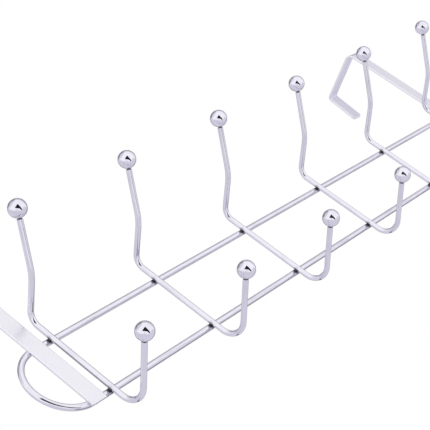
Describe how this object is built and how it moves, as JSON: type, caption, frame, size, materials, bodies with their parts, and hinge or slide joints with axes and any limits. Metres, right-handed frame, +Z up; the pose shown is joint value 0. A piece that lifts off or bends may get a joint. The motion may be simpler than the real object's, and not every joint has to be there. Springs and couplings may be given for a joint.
{
  "type": "over door hook rack",
  "caption": "Chromed wire rack that hangs over the top of a door: a closed oval frame wire carries double wire hooks with ball ends, held by two flat strips",
  "frame": {"origin": "on the door's top edge, in the plane of the door's room face, halfway along the rack", "axes": "+Z up; +X along the rack; -Y towards the room, where the hooks point; +Y across the door's thickness to the lips"},
  "size_m": [0.495, 0.1023, 0.1475],
  "materials": {
    "frame_chrome": "bright chrome plating on steel wire",
    "hook_chrome": "bright chrome plating on steel wire",
    "ball_chrome": "polished chrome plating",
    "strip_chrome": "bright chrome plating on steel strip"
  },
  "bodies": {
    "root": {"frame_loop": "frame_chrome", "hook_wire_1": "hook_chrome", "hook_wire_2": "hook_chrome", "hook_wire_3": "hook_chrome", "hook_wire_4": "hook_chrome", "hook_wire_5": "hook_chrome", "hook_wire_6": "hook_chrome", "ball_upper_1": "ball_chrome", "ball_upper_2": "ball_chrome", "ball_upper_3": "ball_chrome", "ball_upper_4": "ball_chrome", "ball_upper_5": "ball_chrome", "ball_upper_6": "ball_chrome", "ball_lower_1": "ball_chrome", "ball_lower_2": "ball_chrome", "ball_lower_3": "ball_chrome", "ball_lower_4": "ball_chrome", "ball_lower_5": "ball_chrome", "ball_lower_6": "ball_chrome", "door_strip_left": "strip_chrome", "door_strip_right": "strip_chrome"}
  },
  "joints": []
}
